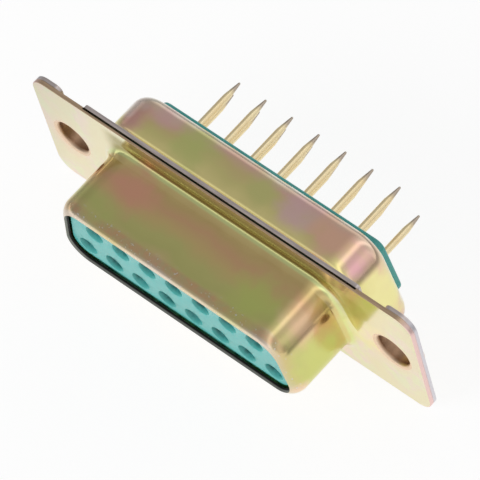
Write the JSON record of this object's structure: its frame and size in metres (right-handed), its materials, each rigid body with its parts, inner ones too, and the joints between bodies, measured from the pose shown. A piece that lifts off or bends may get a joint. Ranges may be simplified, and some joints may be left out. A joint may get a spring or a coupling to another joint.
{
  "type": "d-subminiature socket connector",
  "caption": "D-shaped socket connector with a flanged sheet-metal shell, moulded insulator, two mounting ears and straight board pins",
  "frame": {"origin": "centre of the flange's front face, midway between the two mounting holes", "axes": "+X along the two mounting holes, -Y out of the mating face, +Y along the board pins, +Z towards the narrow side of the D and its row of fewer contacts"},
  "size_m": [0.0392, 0.0175, 0.0126],
  "materials": {
    "shell_plating": "yellow chromate plating, satin, faintly iridescent",
    "insulator": "moulded thermoplastic, satin",
    "contact_gold": "gold flash over turned brass",
    "sleeve_steel": "plain thin steel"
  },
  "bodies": {
    "root": {"front_shell": "shell_plating", "rear_shell": "shell_plating", "front_insulator": "insulator", "rear_insulator": "insulator", "contact_01": "contact_gold", "contact_02": "contact_gold", "contact_03": "contact_gold", "contact_04": "contact_gold", "contact_05": "contact_gold", "contact_06": "contact_gold", "contact_07": "contact_gold", "contact_08": "contact_gold", "contact_09": "contact_gold", "contact_10": "contact_gold", "contact_11": "contact_gold", "contact_12": "contact_gold", "contact_13": "contact_gold", "contact_14": "contact_gold", "contact_15": "contact_gold", "contact_sleeve_01": "sleeve_steel", "contact_sleeve_02": "sleeve_steel", "contact_sleeve_03": "sleeve_steel", "contact_sleeve_04": "sleeve_steel", "contact_sleeve_05": "sleeve_steel", "contact_sleeve_06": "sleeve_steel", "contact_sleeve_07": "sleeve_steel", "contact_sleeve_08": "sleeve_steel", "contact_sleeve_09": "sleeve_steel", "contact_sleeve_10": "sleeve_steel", "contact_sleeve_11": "sleeve_steel", "contact_sleeve_12": "sleeve_steel", "contact_sleeve_13": "sleeve_steel", "contact_sleeve_14": "sleeve_steel", "contact_sleeve_15": "sleeve_steel"}
  },
  "joints": []
}
